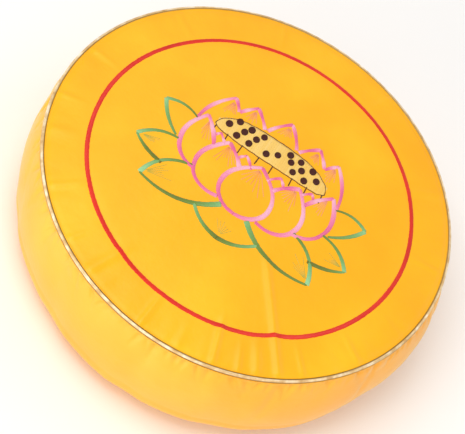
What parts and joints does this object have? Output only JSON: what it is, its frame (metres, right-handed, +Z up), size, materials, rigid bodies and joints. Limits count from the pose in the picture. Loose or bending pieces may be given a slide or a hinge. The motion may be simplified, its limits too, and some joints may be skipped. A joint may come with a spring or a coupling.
{
  "type": "round meditation floor cushion",
  "caption": "Round satin floor cushion with a crowned, embroidered lotus top, a gold cord in its top seam, a soft side band and a flat base.",
  "frame": {"origin": "middle of the outline, at the flat base on the floor", "axes": "+Z up through the middle of the top panel, +X across the embroidery, +Y away from the front"},
  "size_m": [0.4184, 0.4172, 0.127],
  "materials": {
    "cushion": "satin",
    "piping": "satin"
  },
  "bodies": {
    "root": {"cushion": "cushion", "piping": "piping"}
  },
  "joints": []
}
